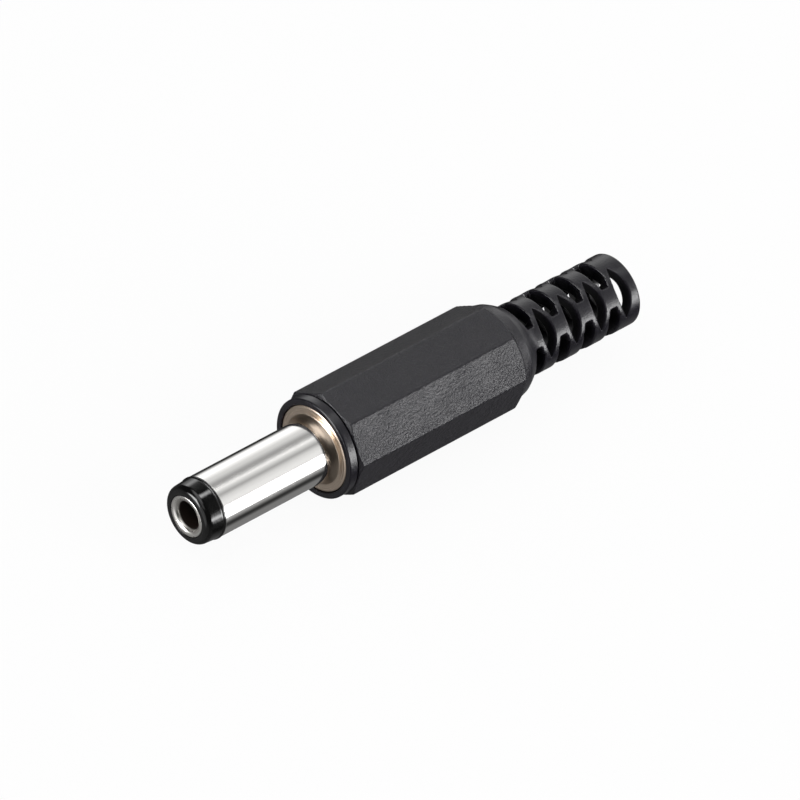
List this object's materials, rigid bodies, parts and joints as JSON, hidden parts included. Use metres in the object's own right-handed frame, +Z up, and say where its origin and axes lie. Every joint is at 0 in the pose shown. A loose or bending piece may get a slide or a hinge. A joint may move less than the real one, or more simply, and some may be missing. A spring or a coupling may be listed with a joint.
{
  "type": "dc barrel plug",
  "caption": "Screw-on DC barrel plug for soldering: bright barrel with hollow centre contact and black nose, eight-sided black cover with a slotted strain relief.",
  "frame": {"origin": "on the plug's axis, in the plane of the flange's front face", "axes": "+X along the plug towards the cable entry, so the nose points to -X; +Z up from the flat that the cover lies on"},
  "size_m": [0.0478, 0.009, 0.009],
  "materials": {
    "black_plastic": "matte with a fine moulded grain",
    "nickel_plate": "bright nickel plate on brass",
    "nose_plastic": "gloss",
    "contact_plate": "nickel plate on brass",
    "terminal_plate": "tinned brass",
    "washer_board": "phenolic board"
  },
  "bodies": {
    "insert": {"barrel_shell": "nickel_plate", "nose_insulator": "nose_plastic", "centre_contact": "contact_plate", "sleeve_terminal": "terminal_plate", "rear_washer": "washer_board", "centre_terminal": "terminal_plate"},
    "cover": {"cover": "black_plastic"}
  },
  "joints": [
    {"name": "cover_draw_off", "type": "slide", "parent": "insert", "child": "cover", "axis": [1, 0, 0], "range_m": [0, 0.022]}
  ]
}
